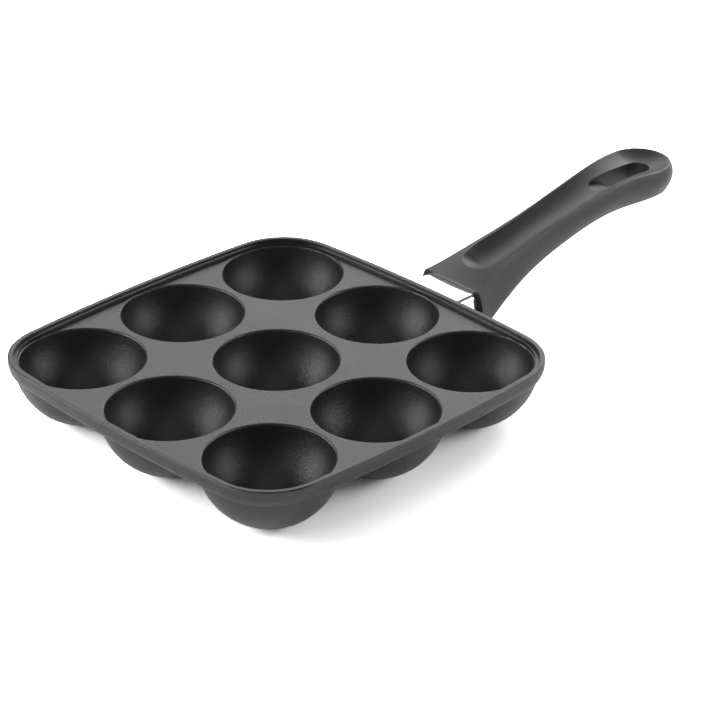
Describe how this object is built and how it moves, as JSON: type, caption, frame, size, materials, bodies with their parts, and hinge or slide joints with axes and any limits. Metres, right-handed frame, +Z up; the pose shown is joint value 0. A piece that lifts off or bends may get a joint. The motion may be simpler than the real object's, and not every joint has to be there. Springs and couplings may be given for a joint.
{
  "type": "aebleskiver pan",
  "caption": "Square cast-aluminium pan with hemispherical wells, a stepped rim and one upswept dark handle with a thumb scoop and a hanging slot.",
  "frame": {"origin": "under the middle well, on the plane that the pan rests on", "axes": "+X along the handle, away from the pan; +Z up; +Y to the left seen from the pan towards the handle"},
  "size_m": [0.3914, 0.2094, 0.0541],
  "materials": {
    "coated_casting": "satin non-stick coating over cast aluminium",
    "polished_sleeve": "polished",
    "phenolic": "satin moulded phenolic",
    "steel": "plain zinc-plated steel"
  },
  "bodies": {
    "root": {"pan_body": "coated_casting", "flame_guard": "polished_sleeve", "handle_grip": "phenolic", "handle_screw": "steel", "lock_washer": "steel"}
  },
  "joints": []
}
